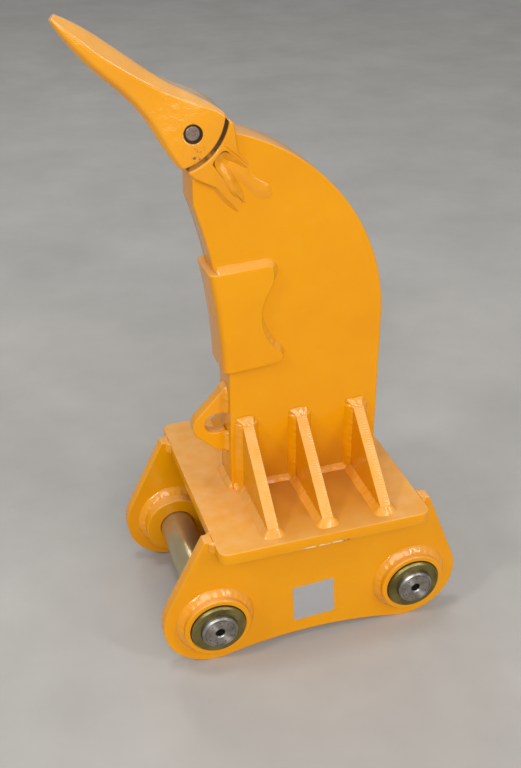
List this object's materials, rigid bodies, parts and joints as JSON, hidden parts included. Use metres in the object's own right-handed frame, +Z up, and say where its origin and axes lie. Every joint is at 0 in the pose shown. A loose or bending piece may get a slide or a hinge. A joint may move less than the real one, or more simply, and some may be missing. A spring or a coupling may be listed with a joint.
{
  "type": "excavator ripper",
  "caption": "Pin-on excavator ripper: a curved shank with a capped tooth, shin guard and lifting eye, braced by gussets on a base plate with pinned ears.",
  "frame": {"origin": "on the stick pin's axis, midway between the two ears", "axes": "+X from the stick pin to the link pin, +Y across the ears to the far side, +Z up from the ears to the tooth, as it stands on its ears"},
  "size_m": [0.6741, 0.45, 1.1838],
  "materials": {
    "paint": "gloss enamel",
    "zinc": "yellow zinc plating",
    "pin_steel": "ground and plated",
    "bare_steel": "bare"
  },
  "bodies": {
    "root": {"base_plate": "paint", "ear_near": "paint", "ear_far": "paint", "hub_stick_near": "paint", "hub_stick_far": "paint", "hub_link_near": "paint", "hub_link_far": "paint", "collar_stick_near": "zinc", "collar_stick_far": "zinc", "collar_link_near": "zinc", "collar_link_far": "zinc", "stick_pin": "pin_steel", "link_pin": "pin_steel", "shank": "paint", "gusset_near_1": "paint", "gusset_near_2": "paint", "gusset_near_3": "paint", "gusset_far_1": "paint", "gusset_far_2": "paint", "gusset_far_3": "paint", "lifting_lug": "paint", "shroud": "paint", "adapter": "paint", "tooth": "paint", "tooth_pin": "bare_steel", "pin_retainer": "bare_steel", "foot_welds": "paint", "ear_welds": "paint", "hub_welds": "paint", "lug_welds": "paint", "shroud_welds": "paint", "adapter_welds": "paint"}
  },
  "joints": []
}
